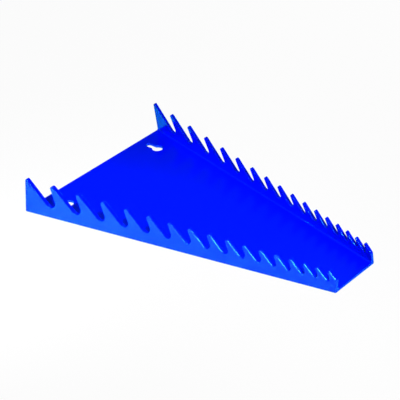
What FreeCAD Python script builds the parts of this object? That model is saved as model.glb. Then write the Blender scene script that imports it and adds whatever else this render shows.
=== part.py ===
import FreeCAD, Part
import Sketcher
import math
import os
from FreeCAD import Placement, Rotation, Vector

# A wrench rack moulded in one piece: a flat tapered plate with a wall along each
# side, both walls cut into graded saw-teeth that lean back to the wide end.
# Millimetres and degrees. Origin at the middle of the underside, +X towards the
# narrow end, +Y across the rack, +Z up.

# tray
rack_length = 400.0
wide_base_width = 244.5
narrow_base_width = 73.5
plate_thickness = 3.5
wall_thickness = 4.5
wall_lean_angle = 6.8
base_corner_radius = 2.0
floor_fillet_radius = 2.0

# saw-teeth, heights from the underside and insets from the nearer end
wide_tip_height = 44.0
narrow_tip_height = 25.0
slot_count = 16
slot_floor_height = 13.8
first_slot_inset = 35.2
last_slot_inset = 10.2
pitch_ratio = 0.939
wide_slot_radius = 6.4
narrow_slot_radius = 2.2
undercut_angle = 21.5
wide_tip_radius = 2.7
narrow_tip_radius = 1.3
end_tip_radius = 2.0
end_slope_angle = 44.0
end_corner_radius = 4.0
cut_allowance = 3.0

# keyholes for hanging the rack on two wall screws, wide end upwards
keyhole_spacing = 162.0
keyhole_inset = 32.2
keyhole_head_diameter = 13.7
keyhole_slot_width = 8.0
keyhole_slot_length = 14.4

sizes = {
    "rack_length": rack_length,
    "wide_base_width": wide_base_width,
    "narrow_base_width": narrow_base_width,
    "plate_thickness": plate_thickness,
    "wall_thickness": wall_thickness,
    "wall_lean_angle": wall_lean_angle,
    "base_corner_radius": base_corner_radius,
    "floor_fillet_radius": floor_fillet_radius,
    "wide_tip_height": wide_tip_height,
    "narrow_tip_height": narrow_tip_height,
    "slot_count": slot_count,
    "slot_floor_height": slot_floor_height,
    "first_slot_inset": first_slot_inset,
    "last_slot_inset": last_slot_inset,
    "pitch_ratio": pitch_ratio,
    "wide_slot_radius": wide_slot_radius,
    "narrow_slot_radius": narrow_slot_radius,
    "undercut_angle": undercut_angle,
    "wide_tip_radius": wide_tip_radius,
    "narrow_tip_radius": narrow_tip_radius,
    "end_tip_radius": end_tip_radius,
    "end_slope_angle": end_slope_angle,
    "end_corner_radius": end_corner_radius,
    "cut_allowance": cut_allowance,
    "keyhole_spacing": keyhole_spacing,
    "keyhole_inset": keyhole_inset,
    "keyhole_head_diameter": keyhole_head_diameter,
    "keyhole_slot_width": keyhole_slot_width,
    "keyhole_slot_length": keyhole_slot_length,
}

start, end, centre = range(1, 4)
level_axis, upright_axis = range(-1, -3, -1)


def make_sheet(doc):
    sheet = doc.addObject("Spreadsheet::Sheet", "Sizes")
    for row, (name, value) in enumerate(sizes.items(), 1):
        sheet.set("A%d" % row, name)
        sheet.set("B%d" % row, repr(value))
        sheet.setAlias("B%d" % row, name)
    doc.recompute()
    return sheet


def origin_plane(body, role):
    return next(item for item in body.Origin.OriginFeatures if item.Role == role)


def make_sketch(body, name, role, offset):
    """A sketch on an origin plane, moved by named expressions in the plane's axes."""
    sketch = body.newObject("Sketcher::SketchObject", name)
    sketch.AttachmentSupport = [(origin_plane(body, role), "")]
    sketch.MapMode = "FlatFace"
    for axis, rule in offset.items():
        sketch.setExpression("AttachmentOffset.Base." + axis, rule)
    return sketch


def drive(sketch, rules):
    """Adds dimensions and ties each one to its rule in the sheet."""
    first = len(sketch.Constraints)
    sketch.addConstraint([constraint for constraint, rule in rules])
    for place, (constraint, rule) in enumerate(rules, first):
        sketch.setExpression("Constraints[%d]" % place, rule)


def line(from_point, to_point):
    return Part.LineSegment(Vector(*from_point, 0), Vector(*to_point, 0))


def arc(middle, radius, from_angle, to_angle):
    circle = Part.Circle(Vector(*middle, 0), Vector(0, 0, 1), radius)
    return Part.ArcOfCircle(circle, math.radians(from_angle), math.radians(to_angle))


def plan_profile(body):
    """The plate from above, sketched from its wide end."""
    sketch = make_sketch(body, "PlanProfile", "XY_Plane", {"x": "-Sizes.rack_length / 2"})
    wide, narrow = wide_base_width / 2, narrow_base_width / 2
    corners = [(0, -wide), (rack_length, -narrow), (rack_length, narrow), (0, wide)]
    sketch.addGeometry([line(corners[k], corners[(k + 1) % 4]) for k in range(4)], False)
    near, narrow_end, far, wide_end = range(4)
    sketch.addConstraint(
        [Sketcher.Constraint("Coincident", k, end, (k + 1) % 4, start) for k in range(4)] + [
            Sketcher.Constraint("PointOnObject", near, start, upright_axis),
            Sketcher.Constraint("Symmetric", wide_end, start, wide_end, end, level_axis),
            Sketcher.Constraint("Symmetric", narrow_end, start, narrow_end, end, level_axis)])
    drive(sketch, [
        (Sketcher.Constraint("DistanceX", near, start, near, end, rack_length),
         "Sizes.rack_length"),
        (Sketcher.Constraint("DistanceY", near, start, far, end, wide_base_width),
         "Sizes.wide_base_width"),
        (Sketcher.Constraint("DistanceY", near, end, far, start, narrow_base_width),
         "Sizes.narrow_base_width")])
    return sketch


def channel_profile(body):
    """The hollow between the walls, run out past both ends, with the outside of
    the far wall as its guide."""
    sketch = make_sketch(body, "ChannelProfile", "XY_Plane", {
        "x": "-Sizes.rack_length / 2 - Sizes.cut_allowance",
        "z": "Sizes.plate_thickness"})
    wide, narrow = wide_base_width / 2, narrow_base_width / 2
    inwards = math.atan2(wide - narrow, rack_length)
    fall = math.tan(inwards)
    inset = wall_thickness / math.cos(math.radians(wall_lean_angle)) / math.cos(inwards)
    far_end = rack_length + 2 * cut_allowance
    broad = wide + cut_allowance * fall - inset
    slim = broad - far_end * fall
    corners = [(0, -broad), (far_end, -slim), (far_end, slim), (0, broad)]
    sketch.addGeometry([line(corners[k], corners[(k + 1) % 4]) for k in range(4)], False)
    sketch.addGeometry(line((cut_allowance, wide), (cut_allowance + rack_length, narrow)), True)
    near, narrow_end, far, wide_end, guide = range(5)
    sketch.addConstraint(
        [Sketcher.Constraint("Coincident", k, end, (k + 1) % 4, start) for k in range(4)] + [
            Sketcher.Constraint("PointOnObject", near, start, upright_axis),
            Sketcher.Constraint("Symmetric", wide_end, start, wide_end, end, level_axis),
            Sketcher.Constraint("Symmetric", narrow_end, start, narrow_end, end, level_axis),
            Sketcher.Constraint("Parallel", guide, far)])
    drive(sketch, [
        (Sketcher.Constraint("DistanceX", level_axis, start, guide, start, cut_allowance),
         "Sizes.cut_allowance"),
        (Sketcher.Constraint("DistanceX", guide, start, guide, end, rack_length),
         "Sizes.rack_length"),
        (Sketcher.Constraint("DistanceY", level_axis, start, guide, start, wide),
         "Sizes.wide_base_width / 2"),
        (Sketcher.Constraint("DistanceY", level_axis, start, guide, end, narrow),
         "Sizes.narrow_base_width / 2"),
        (Sketcher.Constraint("DistanceX", near, start, near, end, far_end),
         "Sizes.rack_length + 2 * Sizes.cut_allowance"),
        (Sketcher.Constraint("Distance", far, end, guide, inset * math.cos(inwards)),
         "Sizes.wall_thickness / cos(Sizes.wall_lean_angle * 1 deg)")])
    return sketch


def slot_place(number):
    share = (1 - pitch_ratio ** number) / (1 - pitch_ratio ** (slot_count - 1))
    return first_slot_inset + (rack_length - first_slot_inset - last_slot_inset) * share


def graded(wide, narrow, number):
    """A size that runs evenly from the first slot to the last."""
    return wide + (narrow - wide) * number / (slot_count - 1)


def graded_rule(name, number):
    """The same size as a rule of the sheet."""
    return ("(Sizes.wide_%s + (Sizes.narrow_%s - Sizes.wide_%s) * %d"
            " / (Sizes.slot_count - 1))" % (name, name, name, number))


def between(first, second, reach, side):
    """Angle of the normal to the line that crosses between two rounds, given the
    sum of their radii and the side of the centre line that it turns to."""
    run, rise = second[0] - first[0], second[1] - first[1]
    turn = math.degrees(math.acos(reach / math.hypot(run, rise)))
    return math.degrees(math.atan2(rise, run)) + side * turn


def tip_centre(slot, slot_r, tip_r):
    """Centre of the tip that touches the undercut of a slot and the line of tips."""
    lean = math.radians(undercut_angle)
    fall = math.atan2(narrow_tip_height - wide_tip_height, rack_length)
    reach = math.cos(lean) * slot[0] + math.sin(lean) * slot[1] + slot_r + tip_r
    level = wide_tip_height * math.cos(fall) - tip_r
    turn = math.cos(lean) * math.cos(fall) + math.sin(lean) * math.sin(fall)
    return ((reach * math.cos(fall) - level * math.sin(lean)) / turn,
            (reach * math.sin(fall) + level * math.cos(lean)) / turn)


def tooth_rounds():
    """Centre and radius of each slot bottom and of each tooth tip."""
    slots, tips = [], []
    for k in range(slot_count):
        slot_r = graded(wide_slot_radius, narrow_slot_radius, k)
        tip_r = graded(wide_tip_radius, narrow_tip_radius, k)
        slots.append(((slot_place(k), slot_floor_height + slot_r), slot_r))
        tips.append((tip_centre(*slots[k], tip_r), tip_r))
    fall = math.atan2(narrow_tip_height - wide_tip_height, rack_length)
    drop = end_tip_radius / math.cos(fall) - end_tip_radius * math.tan(fall)
    first_tip = (end_tip_radius, wide_tip_height - drop), end_tip_radius
    return slots, [first_tip] + tips


def tooth_profile(body):
    """The space above the saw-teeth as seen from the side, from the wide end:
    tips and slot bottoms are arcs, joined by tangent slopes and undercuts."""
    sketch = make_sketch(body, "ToothProfile", "XZ_Plane", {"x": "-Sizes.rack_length / 2"})
    slots, tips = tooth_rounds()
    count = slot_count
    tip, slot, slope, undercut = range(4)
    geometry = []
    for k in range(count):
        (slot_middle, slot_r), (tip_middle, tip_r) = slots[k], tips[k]
        next_middle, next_r = tips[k + 1]
        down = between(tip_middle, slot_middle, tip_r + slot_r, 1)
        back = 180 if k == 0 else 180 + undercut_angle
        tip_arc = arc(tip_middle, tip_r, down, back)
        slot_arc = arc(slot_middle, slot_r, 180 + down, 360 + undercut_angle)
        lean = math.radians(undercut_angle)
        away = Vector(math.cos(lean), math.sin(lean), 0)
        foot, head = Vector(*slot_middle, 0) + away * slot_r, Vector(*next_middle, 0) - away * next_r
        geometry += [tip_arc, slot_arc,
                     Part.LineSegment(tip_arc.StartPoint, slot_arc.StartPoint),
                     Part.LineSegment(foot, head)]
    last_middle, last_r = tips[count]
    facing = 90 - end_slope_angle
    last_arc = arc(last_middle, last_r, facing, 180 + undercut_angle)
    corner_x = rack_length - end_corner_radius
    normal = Vector(math.cos(math.radians(facing)), math.sin(math.radians(facing)), 0)
    reach = normal.x * last_middle[0] + normal.y * last_middle[1] + last_r - end_corner_radius
    corner_arc = arc((corner_x, (reach - normal.x * corner_x) / normal.y),
                     end_corner_radius, 0, facing)
    end_slope = Part.LineSegment(last_arc.StartPoint, corner_arc.EndPoint)
    first_end, corner_end = tips[0][0][1], corner_arc.StartPoint.y
    above = wide_tip_height + 3 * cut_allowance
    outline = [(rack_length, corner_end), (rack_length + cut_allowance, corner_end),
               (rack_length + cut_allowance, above), (-cut_allowance, above),
               (-cut_allowance, first_end), (0, first_end)]
    closing = [line(outline[k], outline[k + 1]) for k in range(5)]
    tip_line = line((0, wide_tip_height), (rack_length, narrow_tip_height))
    sketch.addGeometry(geometry + [last_arc, end_slope, corner_arc] + closing, False)
    sketch.addGeometry(tip_line, True)
    last, end_line, corner, first_close = (4 * count + k for k in range(4))
    guide = first_close + 5

    joints = []
    for k in range(count):
        here, beyond = 4 * k, 4 * k + 4
        joints += [
            Sketcher.Constraint("Tangent", here + tip, start, here + slope, start),
            Sketcher.Constraint("Tangent", here + slope, end, here + slot, start),
            Sketcher.Constraint("Tangent", here + slot, end, here + undercut, start),
            Sketcher.Constraint("Tangent", here + undercut, end, beyond, end),
            Sketcher.Constraint("Tangent", beyond, guide)]
    joints += [
        Sketcher.Constraint("Tangent", tip, guide),
        Sketcher.Constraint("Horizontal", tip, end, tip, centre),
        Sketcher.Constraint("Tangent", last, start, end_line, start),
        Sketcher.Constraint("Tangent", end_line, end, corner, end),
        Sketcher.Constraint("Horizontal", corner, start, corner, centre),
        Sketcher.Constraint("Coincident", corner, start, first_close, start),
        Sketcher.Constraint("Coincident", first_close + 4, end, tip, end),
        Sketcher.Constraint("PointOnObject", guide, start, upright_axis)]
    for k in range(4):
        joints.append(Sketcher.Constraint(
            "Coincident", first_close + k, end, first_close + k + 1, start))
    for k, direction in enumerate(("Horizontal", "Vertical", "Horizontal", "Vertical", "Horizontal")):
        joints.append(Sketcher.Constraint(direction, first_close + k))
    sketch.addConstraint(joints)

    rules = []
    for k in range(count):
        (slot_x, slot_z), slot_r = slots[k]
        radius_rule = graded_rule("slot_radius", k)
        place_rule = ("Sizes.first_slot_inset + (Sizes.rack_length - Sizes.first_slot_inset"
                      " - Sizes.last_slot_inset) * (1 - Sizes.pitch_ratio ^ %d)"
                      " / (1 - Sizes.pitch_ratio ^ (Sizes.slot_count - 1))" % k)
        arc_id = 4 * k + slot
        rules += [
            (Sketcher.Constraint("Radius", arc_id, slot_r), radius_rule),
            (Sketcher.Constraint("DistanceX", level_axis, start, arc_id, centre, slot_x), place_rule),
            (Sketcher.Constraint("DistanceY", level_axis, start, arc_id, centre, slot_z),
             "Sizes.slot_floor_height + " + radius_rule),
            (Sketcher.Constraint("Angle", 4 * k + undercut, math.radians(90 + undercut_angle)),
             "(90 + Sizes.undercut_angle) * 1 deg"),
            (Sketcher.Constraint("Radius", 4 * k + 4, tips[k + 1][1]),
             graded_rule("tip_radius", k))]
    rules += [
        (Sketcher.Constraint("Radius", tip, end_tip_radius), "Sizes.end_tip_radius"),
        (Sketcher.Constraint("DistanceX", level_axis, start, tip, centre, end_tip_radius),
         "Sizes.end_tip_radius"),
        (Sketcher.Constraint("Radius", corner, end_corner_radius), "Sizes.end_corner_radius"),
        (Sketcher.Constraint("DistanceX", level_axis, start, corner, centre, corner_x),
         "Sizes.rack_length - Sizes.end_corner_radius"),
        (Sketcher.Constraint("Angle", end_line, math.radians(-end_slope_angle)),
         "-Sizes.end_slope_angle * 1 deg"),
        (Sketcher.Constraint("DistanceY", level_axis, start, guide, start, wide_tip_height),
         "Sizes.wide_tip_height"),
        (Sketcher.Constraint("DistanceY", level_axis, start, guide, end, narrow_tip_height),
         "Sizes.narrow_tip_height"),
        (Sketcher.Constraint("DistanceX", guide, start, guide, end, rack_length),
         "Sizes.rack_length"),
        (Sketcher.Constraint("Distance", first_close, cut_allowance), "Sizes.cut_allowance"),
        (Sketcher.Constraint("Distance", first_close + 4, cut_allowance), "Sizes.cut_allowance"),
        (Sketcher.Constraint("DistanceY", level_axis, start, first_close + 2, start, above),
         "Sizes.wide_tip_height + 3 * Sizes.cut_allowance")]
    drive(sketch, rules)
    return sketch


def keyhole_profile(body):
    """One keyhole about its round head, the slot running to the wide end."""
    sketch = make_sketch(body, "KeyholeProfile", "XY_Plane", {
        "x": "Sizes.keyhole_inset - Sizes.rack_length / 2",
        "y": "Sizes.keyhole_spacing / 2"})
    head_r, slot_r = keyhole_head_diameter / 2, keyhole_slot_width / 2
    meet = math.degrees(math.asin(slot_r / head_r))
    reach = head_r * math.cos(math.radians(meet))
    sketch.addGeometry([
        arc((0, 0), head_r, -180 + meet, 180 - meet),
        line((-reach, slot_r), (-keyhole_slot_length, slot_r)),
        arc((-keyhole_slot_length, 0), slot_r, 90, 270),
        line((-keyhole_slot_length, -slot_r), (-reach, -slot_r))], False)
    head, upper, round_end, lower = range(4)
    sketch.addConstraint([
        Sketcher.Constraint("Coincident", head, centre, level_axis, start),
        Sketcher.Constraint("Coincident", head, end, upper, start),
        Sketcher.Constraint("Tangent", upper, end, round_end, start),
        Sketcher.Constraint("Tangent", round_end, end, lower, start),
        Sketcher.Constraint("Coincident", lower, end, head, start),
        Sketcher.Constraint("Horizontal", upper),
        Sketcher.Constraint("Horizontal", lower),
        Sketcher.Constraint("PointOnObject", round_end, centre, level_axis)])
    drive(sketch, [
        (Sketcher.Constraint("Radius", head, head_r), "Sizes.keyhole_head_diameter / 2"),
        (Sketcher.Constraint("Radius", round_end, slot_r), "Sizes.keyhole_slot_width / 2"),
        (Sketcher.Constraint("DistanceX", round_end, centre, head, centre, keyhole_slot_length),
         "Sizes.keyhole_slot_length")])
    return sketch


def long_edges(shape, height):
    """Names of the edges that run the rack's length at a height."""
    names = []
    for number, edge in enumerate(shape.Edges, 1):
        ends = [vertex.Point for vertex in edge.Vertexes]
        level = all(abs(point.z - height) < 0.01 for point in ends)
        if level and abs(ends[0].x - ends[-1].x) > rack_length / 2:
            names.append("Edge%d" % number)
    return names


def upright_sides(shape, facing):
    """Names of the upright faces along the rack, facing out (1) or in (-1)."""
    names = []
    for number, face in enumerate(shape.Faces, 1):
        normal = face.normalAt(0, 0)
        out = normal.y * face.CenterOfMass.y * facing > 0
        if out and abs(normal.z) < 0.001 and abs(normal.y) > abs(normal.x):
            names.append("Face%d" % number)
    return names


def lean_sides(doc, body, name, base, facing):
    """Leans the sides towards the middle, turning about the underside."""
    lean = body.newObject("PartDesign::Draft", name)
    lean.Base = (base, upright_sides(base.Shape, facing))
    lean.NeutralPlane = (origin_plane(body, "XY_Plane"), [""])
    lean.Reversed = facing < 0
    lean.setExpression("Angle", "Sizes.wall_lean_angle * 1 deg")
    doc.recompute()
    return lean


def round_edges(doc, body, name, base, height, rule):
    fillet = body.newObject("PartDesign::Fillet", name)
    fillet.Base = (base, long_edges(base.Shape, height))
    fillet.setExpression("Radius", rule)
    doc.recompute()
    return fillet


def build_tray(doc, body):
    blank = body.newObject("PartDesign::Pad", "Blank")
    blank.Profile = plan_profile(body)
    blank.setExpression("Length", "Sizes.wide_tip_height + Sizes.cut_allowance")
    doc.recompute()
    channel = body.newObject("PartDesign::Pocket", "Channel")
    channel.Profile = channel_profile(body)
    channel.Type = "ThroughAll"
    channel.Reversed = True
    doc.recompute()
    inside = lean_sides(doc, body, "InnerLean", channel, -1)
    outside = lean_sides(doc, body, "OuterLean", inside, 1)
    corners = round_edges(doc, body, "BaseCorners", outside, 0, "Sizes.base_corner_radius")
    return round_edges(doc, body, "FloorFillets", corners, plate_thickness,
                       "Sizes.floor_fillet_radius")


def cut_teeth(doc, body):
    pocket = body.newObject("PartDesign::Pocket", "SawTeeth")
    pocket.Profile = tooth_profile(body)
    pocket.Type = "ThroughAll"
    pocket.SideType = "Symmetric"
    doc.recompute()
    return pocket


def cut_keyholes(doc, body):
    pocket = body.newObject("PartDesign::Pocket", "Keyhole")
    pocket.Profile = keyhole_profile(body)
    pocket.Reversed = True
    pocket.setExpression("Length", "Sizes.plate_thickness")
    doc.recompute()
    pair = body.newObject("PartDesign::Mirrored", "KeyholePair")
    pair.Originals = [pocket]
    pair.MirrorPlane = (origin_plane(body, "XZ_Plane"), [""])
    body.Tip = pair
    doc.recompute()
    return pair


def check_model(doc, body, stages):
    """Stops on a failed object, an unsound solid or a cut that removed nothing."""
    for item in doc.Objects:
        if "Invalid" in item.State or "Error" in item.State:
            raise RuntimeError("%s failed: %s" % (item.Name, item.State))
    volumes = [stage.Shape.Volume for stage in stages]
    print("volumes", [round(volume) for volume in volumes])
    if any(after >= before - 1 for before, after in zip(volumes, volumes[1:])):
        raise RuntimeError("a cut removed nothing")
    if body.Shape.isNull() or not body.Shape.isValid() or len(body.Shape.Solids) != 1:
        raise RuntimeError("the rack is not one sound solid")


doc = FreeCAD.newDocument("WrenchRack")
make_sheet(doc)
rack = doc.addObject("PartDesign::Body", "Rack")
rack.Label = "wrench_rack"
rack.Placement = Placement(Vector(0, 0, 0), Rotation())
tray_stage = build_tray(doc, rack)
teeth_stage = cut_teeth(doc, rack)
keyhole_stage = cut_keyholes(doc, rack)
check_model(doc, rack, [tray_stage, teeth_stage, keyhole_stage])

os.makedirs("parts", exist_ok=True)
rack.Shape.exportStep(os.path.join("parts", rack.Label + ".step"))
box = rack.Shape.BoundBox
print("size", round(box.XLength, 2), round(box.YLength, 2), round(box.ZLength, 2))
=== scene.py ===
import math

import bmesh
import bpy
import numpy as np
from mathutils import Matrix, Vector


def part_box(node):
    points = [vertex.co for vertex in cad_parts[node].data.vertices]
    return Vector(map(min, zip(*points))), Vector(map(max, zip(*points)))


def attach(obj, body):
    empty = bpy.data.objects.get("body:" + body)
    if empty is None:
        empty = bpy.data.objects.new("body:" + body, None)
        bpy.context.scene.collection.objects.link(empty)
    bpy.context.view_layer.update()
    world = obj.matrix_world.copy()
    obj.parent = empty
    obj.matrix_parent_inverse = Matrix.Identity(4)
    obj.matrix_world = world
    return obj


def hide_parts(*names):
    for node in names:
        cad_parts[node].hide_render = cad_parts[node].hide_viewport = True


# A wrench rack in glossy blue plastic: a tapered tray with saw-toothed side walls.
# Shapes are worked out in millimetres and turned to metres as their mesh is made.

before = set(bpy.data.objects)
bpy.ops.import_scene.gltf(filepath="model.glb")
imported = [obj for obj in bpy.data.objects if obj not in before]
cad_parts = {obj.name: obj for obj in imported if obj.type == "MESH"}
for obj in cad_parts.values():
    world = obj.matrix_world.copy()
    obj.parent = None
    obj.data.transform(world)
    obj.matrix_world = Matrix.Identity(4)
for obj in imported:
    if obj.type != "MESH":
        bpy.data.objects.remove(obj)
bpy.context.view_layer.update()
low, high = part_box("wrench_rack")
mm = 0.001
print("frame loaded")


# shape

tray = {
    "length": (high.x - low.x) / mm,
    "wideBase": 244.5,        # across the underside at the wide end
    "narrowBase": 73.5,
    "plate": 3.5,
    "wall": 4.5,
    "lean": 6.8,              # degrees that each wall leans in
    "baseCorner": 2.0,
    "floorFillet": 2.0,
    "outerRounding": 0.8,     # the softened rim
    "innerRounding": 0.4,
    "edgeSteps": 6,
    "cornerSteps": 16,        # a multiple of four
    "mergeReach": 0.000001,   # metres within which doubled points become one
    "flatWeight": 100,        # lets the large flat faces lead the shading
}

teeth = {
    "slots": 16,
    "wideTip": 44.0,          # height of the line of tips at each end
    "narrowTip": 25.0,
    "slotFloor": 13.8,
    "firstInset": 35.2,
    "lastInset": 10.2,
    "pitchRatio": 0.939,
    "wideRadius": 6.4,
    "narrowRadius": 2.2,
    "undercut": 21.5,         # degrees from upright
    "wideTipRadius": 2.7,
    "narrowTipRadius": 1.3,
    "endTipRadius": 2.0,
    "endSlope": 44.0,
    "endCorner": 4.0,
    "arcSteps": 18,
}

keyhole = {
    "spacing": 162.0,
    "inset": 32.2,            # round head's centre from the wide end
    "head": 13.7,
    "slot": 8.0,
    "reach": 14.4,            # to the centre of the slot's round end
    "neck": 1.0,              # rounding where slot and head meet
    "edgeRounding": 0.5,
    "steps": 10,
}

lean = math.radians(tray["lean"])
fall = math.atan2((tray["wideBase"] - tray["narrowBase"]) / 2, tray["length"])


def halfWidth(x):             # underside's half width, x from the middle of the rack
    return tray["wideBase"] / 2 - (x + tray["length"] / 2) * math.tan(fall)


def arcPoints(centre, radius, first, last, steps, facing=1):
    # centre + radius * (cos a, sin a); the normal is the same direction times facing
    angle = np.radians(np.linspace(first, last, steps + 1))
    way = np.stack([np.cos(angle), np.sin(angle)], 1)
    return np.array(centre) + radius * way, facing * way


def crossingAngle(tip, slot, reach):
    # normal of the line that crosses between two rounds whose radii add up to reach
    run, rise = slot[0] - tip[0], slot[1] - tip[1]
    return math.degrees(math.atan2(rise, run) + math.acos(reach / math.hypot(run, rise)))


def toothRounds():
    # slot k stands at first + span * (1 - q^k) / (1 - q^last), and the radii fall evenly;
    # a tip touches its slot's undercut and the sloping line of tips
    number = np.arange(teeth["slots"])
    last = teeth["slots"] - 1
    share = (1 - teeth["pitchRatio"] ** number) / (1 - teeth["pitchRatio"] ** last)
    span = tray["length"] - teeth["firstInset"] - teeth["lastInset"]
    radius = np.linspace(teeth["wideRadius"], teeth["narrowRadius"], teeth["slots"])
    tipRadius = np.linspace(teeth["wideTipRadius"], teeth["narrowTipRadius"], teeth["slots"])
    slots = np.stack([teeth["firstInset"] + span * share, teeth["slotFloor"] + radius], 1)
    back = math.radians(teeth["undercut"])
    drop = math.atan2(teeth["narrowTip"] - teeth["wideTip"], tray["length"])
    reach = slots @ (math.cos(back), math.sin(back)) + radius + tipRadius
    level = teeth["wideTip"] * math.cos(drop) - tipRadius
    tips = np.stack([reach * math.cos(drop) - level * math.sin(back),
                     reach * math.sin(drop) + level * math.cos(back)], 1) / math.cos(back - drop)
    end = teeth["endTipRadius"]
    firstTip = (end, teeth["wideTip"] - end / math.cos(drop) + end * math.tan(drop))
    return slots, radius, np.vstack([[firstTip], tips]), np.concatenate([[end], tipRadius])


def sideOutline():
    # tip, slope, slot and undercut in turn, from the wide end to the narrow one, with normals
    slots, radius, tips, tipRadius = toothRounds()
    steps, under = teeth["arcSteps"], teeth["undercut"]
    runs, back = [], 180
    for k in range(teeth["slots"]):
        down = crossingAngle(tips[k], slots[k], tipRadius[k] + radius[k])
        runs.append(arcPoints(tips[k], tipRadius[k], back, down, steps))
        runs.append(arcPoints(slots[k], radius[k], 180 + down, 360 + under, steps, -1))
        back = 180 + under
    facing = 90 - teeth["endSlope"]
    way = np.array([math.cos(math.radians(facing)), math.sin(math.radians(facing))])
    runs.append(arcPoints(tips[-1], tipRadius[-1], back, facing, steps))
    cornerX = tray["length"] - teeth["endCorner"]
    touch = tips[-1] @ way + tipRadius[-1] - teeth["endCorner"]
    corner = (cornerX, (touch - way[0] * cornerX) / way[1])
    runs.append(arcPoints(corner, teeth["endCorner"], facing, 0, steps))
    place, normal = (np.vstack(part) for part in zip(*runs))
    place[:, 0] -= tray["length"] / 2
    return place, normal


def cornerSection():
    # matching points (distance in from the base line, height) down the outer and the inner
    # skin from the wall to the plate, each with the direction into the plastic
    steps = tray["cornerSteps"]
    quarter = steps // 4
    t, r, fillet, plate = tray["wall"], tray["baseCorner"], tray["floorFillet"], tray["plate"]
    turn = np.linspace(0, 1, steps + 1)
    angle = math.pi - lean + turn * (math.pi / 2 + lean)
    inset = (t + fillet) / math.cos(lean) + (plate + fillet) * math.tan(lean)
    inner = np.stack([inset + fillet * np.cos(angle), plate + fillet + fillet * np.sin(angle)], 1)
    innerIn = np.stack([-np.cos(turn * math.pi / 2), -np.sin(turn * math.pi / 2)], 1)
    join, arcTop = inner[0, 1], r * (1 + math.sin(lean))
    height = np.linspace(join, arcTop, quarter + 1)[:-1]
    straight = np.stack([height * math.tan(lean), height], 1)
    bend = np.linspace(0, 1, 2 * quarter + 1)
    angle = math.pi - lean + bend * (math.pi / 2 + lean)
    centre = r * math.tan(lean) + r / math.cos(lean)
    arc = np.stack([centre + r * np.cos(angle), r + r * np.sin(angle)], 1)
    flat = np.stack([np.linspace(centre, inset, quarter + 1)[1:], np.zeros(quarter)], 1)
    outer = np.vstack([straight, arc, flat])
    rise = np.concatenate([np.zeros(quarter), bend, np.ones(quarter)]) * math.pi / 2
    outerIn = np.stack([np.cos(rise), np.sin(rise)], 1)
    return outer, outerIn, inner, innerIn


def rimColumns(x, skin, inwards, normal, r):
    # quarter-round edge: P - r (1 - sin a) N along the skin and r (1 - cos a) into the plastic
    angle = np.linspace(0, math.pi / 2, tray["edgeSteps"] + 1)
    slip, sink = r * (1 - np.sin(angle)), r * (1 - np.cos(angle))
    px = x[:, None] - slip * normal[:, :1]
    pz = skin[:, 1:] - slip * normal[:, 1:]
    inset = skin[:, :1] + (pz - skin[:, 1:]) * math.tan(lean)
    py = inset / math.cos(fall) - halfWidth(px) + sink * inwards[:, :1]
    return np.stack([px, py, pz + sink * inwards[:, 1:]], 2)


def nearRim():
    # closed rim's near half: middle of the wide end, corner, toothed wall, corner, middle of
    # the narrow end; rows follow the rim and columns cross it from outer to inner skin
    place, normal = sideOutline()
    outer, outerIn, inner, innerIn = cornerSection()
    steps, half = tray["cornerSteps"], tray["length"] / 2
    wallX = place[:, 0]
    wallOut = np.stack([place[:, 1] * math.tan(lean), place[:, 1]], 1)
    wallIn = wallOut + (tray["wall"] / math.cos(lean), 0)
    level = np.tile((1.0, 0.0), (len(place), 1))
    ends = np.full(steps + 1, half)
    x = np.concatenate([-ends, wallX, ends])
    facing = np.zeros((steps + 1, 2)) + (1, 0)
    allNormal = np.vstack([-facing, normal, facing])
    outerSkin = np.vstack([outer[::-1], wallOut, outer])
    innerSkin = np.vstack([inner[::-1], wallIn, inner])
    outerWay = np.vstack([outerIn[::-1], level, outerIn])
    innerWay = np.vstack([innerIn[::-1], -level, innerIn])
    outerEdge = rimColumns(x, outerSkin, outerWay, allNormal, tray["outerRounding"])
    innerEdge = rimColumns(x, innerSkin, innerWay, allNormal, tray["innerRounding"])
    return np.concatenate([outerEdge, innerEdge[:, ::-1]], 1)


def keyholeOutline():
    # head circle, neck roundings and slot with a round end, anticlockwise from the head's
    # far right point; normals point into the hole
    head, half, neck = keyhole["head"] / 2, keyhole["slot"] / 2, keyhole["neck"]
    steps = keyhole["steps"]
    side = half + neck
    back = math.sqrt((head + neck) ** 2 - side ** 2)
    meet = math.degrees(math.atan2(side, -back))
    runs = [arcPoints((0, 0), head, 0, meet, 2 * steps, -1),
            arcPoints((-back, side), neck, meet + 180, 270, steps // 2),
            arcPoints((-keyhole["reach"], 0), half, 90, 180, steps, -1)]
    place, normal = (np.vstack(part) for part in zip(*runs))
    mirror = np.array([1, -1])
    place = np.vstack([place, (place * mirror)[-2:0:-1]])
    normal = np.vstack([normal, (normal * mirror)[-2:0:-1]])
    centre = (keyhole["inset"] - tray["length"] / 2, -keyhole["spacing"] / 2)
    return place + centre, normal


def keyholeWall():
    # the same quarter-round edge above and below a plain wall through the plate
    place, normal = keyholeOutline()
    r = keyhole["edgeRounding"]
    angle = np.linspace(0, math.pi / 2, tray["edgeSteps"] + 1)
    slip, sink = r * (1 - np.sin(angle)), r * (1 - np.cos(angle))
    slip = np.concatenate([slip, slip[::-1]])
    height = np.concatenate([sink, tray["plate"] - sink[::-1]])
    points = place[:, None] - slip[:, None] * normal[:, None]
    return np.dstack([points, np.broadcast_to(height, points.shape[:2])])


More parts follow.
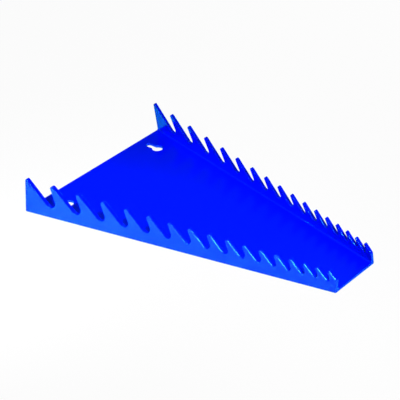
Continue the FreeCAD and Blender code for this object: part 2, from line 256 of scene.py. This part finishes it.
class Shell:                  # gathers grids and flat faces, then makes one closed mesh
    def __init__(self):
        self.points, self.faces, self.count = [], [], 0

    def add(self, points):
        first = self.count
        flat = np.asarray(points, float).reshape(-1, 3)
        self.points.append(flat)
        self.count += len(flat)
        return first + np.arange(len(flat)).reshape(np.shape(points)[:-1])

    def skin(self, index):    # quads between neighbouring rows and columns of point numbers
        quads = np.stack([index[:-1, :-1], index[1:, :-1], index[1:, 1:], index[:-1, 1:]], -1)
        self.faces += quads.reshape(-1, 4).tolist()

    def flat(self, *numbers):
        self.faces.append(np.concatenate([np.atleast_1d(part) for part in numbers]).tolist())

    def mesh(self, name):
        points = np.vstack(self.points)
        mirrored = points * (1, -1, 1)
        swapped = [[number + len(points) for number in reversed(face)] for face in self.faces]
        mesh = bpy.data.meshes.new(name)
        mesh.from_pydata(np.vstack([points, mirrored]) * mm, [], self.faces + swapped)
        work = bmesh.new()
        work.from_mesh(mesh)
        bmesh.ops.remove_doubles(work, verts=work.verts, dist=tray["mergeReach"])
        bmesh.ops.recalc_face_normals(work, faces=work.faces)
        openEdges = sum(1 for edge in work.edges if len(edge.link_faces) != 2)
        print("open edges", openEdges, "faces", len(work.faces))
        work.to_mesh(mesh)
        work.free()
        mesh.polygons.foreach_set("use_smooth", np.ones(len(mesh.polygons), bool))
        return mesh


def makeRack():
    shell = Shell()
    steps = tray["cornerSteps"]
    quarter = steps // 4
    grid = nearRim()
    rim = shell.add(grid)
    ring = shell.add(keyholeWall())
    left = len(ring) // 2     # the keyhole outline's far left point
    shell.skin(rim)
    shell.skin(np.vstack([ring, ring[:1]]))
    # the end strips run on from the corners to the middle, the wide one past the keyhole
    flatten, keyholeLine = (1, 0, 1), (0, -keyhole["spacing"] / 2, 0)
    wide = [rim[0], shell.add(grid[0] * flatten + keyholeLine), shell.add(grid[0] * flatten)]
    narrow = [rim[-1], shell.add(grid[-1] * flatten)]
    shell.skin(np.vstack(wide))
    shell.skin(np.vstack(narrow))
    # underside and floor, each in two flat faces that meet at the keyhole
    under = rim[:quarter + 1, 0][::-1], rim[-1 - quarter:, 0][::-1]
    floor = rim[:1, -1], rim[-1:, -1]
    for column, (wideRun, narrowRun) in ((0, under), (-1, floor)):
        loop, beside = ring[:, column], wide[1][column]
        shell.flat(wideRun, beside, loop[left:], loop[0], narrowRun)
        shell.flat(beside, loop[left::-1], rim[-1, column], narrow[1][column], wide[2][column])
    # base corner and floor fillet run the rack's length
    outerArc, innerArc = np.arange(quarter, steps - quarter + 1), np.arange(steps + 1)
    for rows, column in ((outerArc, 0), (innerArc, -1)):
        shell.skin(np.stack([rim[rows, column], rim[len(rim) - 1 - rows, column]], 1))
    shell.flat(rim[steps - quarter:len(rim) - steps + quarter, 0])
    shell.flat(rim[steps:len(rim) - steps, -1])
    rack = bpy.data.objects.new("rack", shell.mesh("rack"))
    bpy.context.scene.collection.objects.link(rack)
    even = rack.modifiers.new("even shading", "WEIGHTED_NORMAL")
    even.weight = tray["flatWeight"]
    even.keep_sharp = False
    return rack


rack = makeRack()
print("rack modelled")


# finish

class Value:                  # a shader socket that adds Math nodes when it is worked with
    tree = None

    def __init__(self, socket):
        self.socket = socket

    @classmethod
    def node(cls, kind, inputs=None, **settings):
        made = cls.tree.nodes.new(kind)
        for name, setting in settings.items():
            setattr(made, name, setting)
        for name, given in (inputs or {}).items():
            if isinstance(given, Value):
                cls.tree.links.new(given.socket, made.inputs[name])
            else:
                made.inputs[name].default_value = given
        return made

    def work(self, operation, first, second):
        return Value(self.node("ShaderNodeMath", {0: first, 1: second}, operation=operation).outputs[0])

    def __add__(self, other):
        return self.work("ADD", self, other)

    def __sub__(self, other):
        return self.work("SUBTRACT", self, other)

    def __mul__(self, other):
        return self.work("MULTIPLY", self, other)

    __radd__, __rmul__ = __add__, __mul__

    def __rsub__(self, other):
        return self.work("SUBTRACT", other, self)


def newMaterial(name):
    material = bpy.data.materials.new(name)
    material.use_nodes = True
    material.node_tree.nodes.clear()
    Value.tree = material.node_tree
    return material


plastic = {
    "deep": (0.0, 0.0012, 0.90, 1),
    "light": (0.0, 0.0022, 0.95, 1),
    "gloss": (0.10, 0.90, 1.0, 1),
    "glossIndex": 1.95,       # sets how the gloss grows towards a grazing view
    "roughness": 0.14,        # at the clouds' middle
    "roughnessSpread": 0.05,
    "cloudScale": 9.0,        # soft moulding clouds, per metre
    "cloudDetail": 3.0,
    "cloudMiddle": 0.5,
    "grainScale": 1400.0,     # fine skin of the mould, per metre
    "grainDetail": 2.0,
    "waveScale": 45.0,        # slow waviness of the skin, per metre
    "waveDetail": 1.0,
    "grainHeight": 0.00001,   # metres
    "waveHeight": 0.000015,
    "bumpStrength": 1.0,
    "bumpDistance": 1.0,      # keeps the two heights in metres
}


def noise(place, name):       # one of the plastic's three patterns, from 0 to 1
    return Value(Value.node("ShaderNodeTexNoise", {
        "Vector": place, "Scale": plastic[name + "Scale"],
        "Detail": plastic[name + "Detail"]}).outputs["Fac"])


def bluePlastic():
    material = newMaterial("blue_plastic")
    node = Value.node
    place = Value(node("ShaderNodeTexCoord").outputs["Object"])
    cloud, grain, wave = (noise(place, name) for name in ("cloud", "grain", "wave"))
    colour = node("ShaderNodeMix", {
        "Factor": cloud, "A": plastic["deep"], "B": plastic["light"]}, data_type="RGBA")
    rough = plastic["roughness"] + plastic["roughnessSpread"] * (cloud - plastic["cloudMiddle"])
    height = plastic["grainHeight"] * grain + plastic["waveHeight"] * wave
    bump = node("ShaderNodeBump", {
        "Height": height, "Strength": plastic["bumpStrength"], "Distance": plastic["bumpDistance"]})
    bumped = Value(bump.outputs["Normal"])
    body = node("ShaderNodeBsdfPrincipled", {
        "Base Color": Value(colour.outputs["Result"]), "Roughness": rough,
        "Specular IOR Level": 0.0, "Normal": bumped})
    gloss = node("ShaderNodeBsdfPrincipled", {
        "Base Color": plastic["gloss"], "Specular Tint": plastic["gloss"], "Metallic": 1.0,
        "Roughness": rough, "Normal": bumped})
    share = node("ShaderNodeFresnel", {"IOR": plastic["glossIndex"], "Normal": bumped})
    mixed = node("ShaderNodeMixShader", {
        0: Value(share.outputs[0]), 1: Value(body.outputs[0]), 2: Value(gloss.outputs[0])})
    node("ShaderNodeOutputMaterial", {"Surface": Value(mixed.outputs[0])})
    return material


rack.data.materials.append(bluePlastic())
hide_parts("wrench_rack")
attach(rack, "root")
print("rack finished")


# studio

studio = {
    "floorSize": 60.0,        # metres
    "floorDrop": 0.0002,
    "floorColour": (0.55, 0.55, 0.55, 1),
    "floorWhite": 0.96,       # share of the floor that the camera sees as plain white
    "mirrorWhite": 0.30,      # and the share that the gloss mirrors so
    "white": (1, 1, 1, 1),
    "walls": 0.05,            # the room's glow level with the rack
    "ceiling": 0.25,          # and straight above it
    "ceilingStart": 0.75,     # height on the unit sphere where the brighter glow begins
}

lamps = {                     # places and sizes in metres, power in watts, spread in degrees
    "key": {"at": (-0.18, -0.47, 0.46), "aim": (-0.14, -0.20, 0.0), "size": 0.12,
            "power": 1.0, "spread": 60},
    "side": {"at": (0.64, -0.23, 0.44), "aim": (0.17, -0.05, 0.02), "size": 0.26,
             "power": 0.48, "spread": 45},
    "back": {"at": (-0.25, 0.95, 0.28), "aim": (0.0, 0.08, 0.02), "size": 0.50,
             "power": 1.5, "spread": 100},
    "top": {"at": (0.20, -0.30, 0.90), "aim": (0.05, 0.0, 0.0), "size": 0.60,
            "power": 1.4, "spread": 180},
}


def makeFloor():
    side = studio["floorSize"] / 2
    mesh = bpy.data.meshes.new("floor")
    mesh.from_pydata([(-side, -side, 0), (side, -side, 0), (side, side, 0), (-side, side, 0)],
                     [], [(0, 1, 2, 3)])
    floor = bpy.data.objects.new("floor", mesh)
    floor.location.z = -studio["floorDrop"]
    bpy.context.scene.collection.objects.link(floor)
    material = newMaterial("pale_floor")
    node = Value.node
    path = node("ShaderNodeLightPath").outputs
    seen = Value(path["Is Camera Ray"]) + Value(path["Is Transmission Ray"])
    plain = studio["floorWhite"] * seen + studio["mirrorWhite"] * Value(path["Is Glossy Ray"])
    matt = node("ShaderNodeBsdfDiffuse", {"Color": studio["floorColour"]}).outputs[0]
    white = node("ShaderNodeEmission", {"Color": studio["white"], "Strength": 1.0}).outputs[0]
    mixed = node("ShaderNodeMixShader", {
        0: plain, 1: Value(matt), 2: Value(white)}).outputs[0]
    node("ShaderNodeOutputMaterial", {"Surface": Value(mixed)})
    mesh.materials.append(material)


def makeLamps():
    for name, lamp in lamps.items():
        light = bpy.data.lights.new(name, "AREA")
        light.shape = "DISK"
        light.size, light.energy = lamp["size"], lamp["power"]
        light.spread = math.radians(lamp["spread"])
        holder = bpy.data.objects.new(name, light)
        holder.location = lamp["at"]
        away = holder.location - Vector(lamp["aim"])
        holder.rotation_mode = "QUATERNION"
        holder.rotation_quaternion = away.to_track_quat("Z", "Y")
        bpy.context.scene.collection.objects.link(holder)


def makeWorld():
    # glow = walls + (ceiling - walls) * how far the way up lies between the start and the top
    world = bpy.data.worlds.new("studio")
    world.use_nodes = True
    world.node_tree.nodes.clear()
    Value.tree = world.node_tree
    way = Value(Value.node("ShaderNodeTexCoord").outputs["Generated"])
    up = Value(Value.node("ShaderNodeSeparateXYZ", {"Vector": way}).outputs["Z"])
    glow = Value(Value.node("ShaderNodeMapRange", {
        "Value": up, "From Min": studio["ceilingStart"], "From Max": 1.0,
        "To Min": studio["walls"], "To Max": studio["ceiling"]}).outputs[0])
    sky = Value.node("ShaderNodeBackground", {"Color": studio["white"], "Strength": glow})
    Value.node("ShaderNodeOutputWorld", {"Surface": Value(sky.outputs[0])})
    bpy.context.scene.world = world


camera = {                    # degrees, and millimetres from the middle of the underside
    "azimuth": 42.4267,
    "elevation": 32.0897,
    "roll": -3.3929,
    "distance": 1849.68,      # back along the line of sight
    "across": -20.5081,
    "up": 24.3609,
    "focal": 1562.7,          # in pixels of the 400 pixel frame
    "frame": 400,
    "sensor": 36.0,
    "nearest": 0.05,          # metres that the camera sees from and to
    "farthest": 100.0,
}


def makeCamera():
    # right, up and back are the camera's own axes, and roll turns the first two about the third
    az, el = math.radians(camera["azimuth"]), math.radians(camera["elevation"])
    roll = math.radians(camera["roll"])
    right = np.array([math.cos(az), math.sin(az), 0])
    back = np.array([math.sin(az) * math.cos(el), -math.cos(az) * math.cos(el), math.sin(el)])
    up = np.cross(back, right)
    right, up = (math.cos(roll) * right + math.sin(roll) * up,
                 math.cos(roll) * up - math.sin(roll) * right)
    place = camera["distance"] * back + camera["across"] * right + camera["up"] * up
    data = bpy.data.cameras.new("camera")
    data.sensor_width = camera["sensor"]
    data.lens = camera["focal"] / camera["frame"] * camera["sensor"]
    data.clip_start, data.clip_end = camera["nearest"], camera["farthest"]
    holder = bpy.data.objects.new("camera", data)
    turned = np.eye(4)
    turned[:3] = np.stack([right, up, back, place * mm], 1)
    holder.matrix_world = Matrix(turned.tolist())
    bpy.context.scene.collection.objects.link(holder)
    bpy.context.scene.camera = holder


makeFloor()
makeLamps()
makeWorld()
makeCamera()
bpy.context.scene.view_settings.view_transform = "Standard"
print("studio ready")
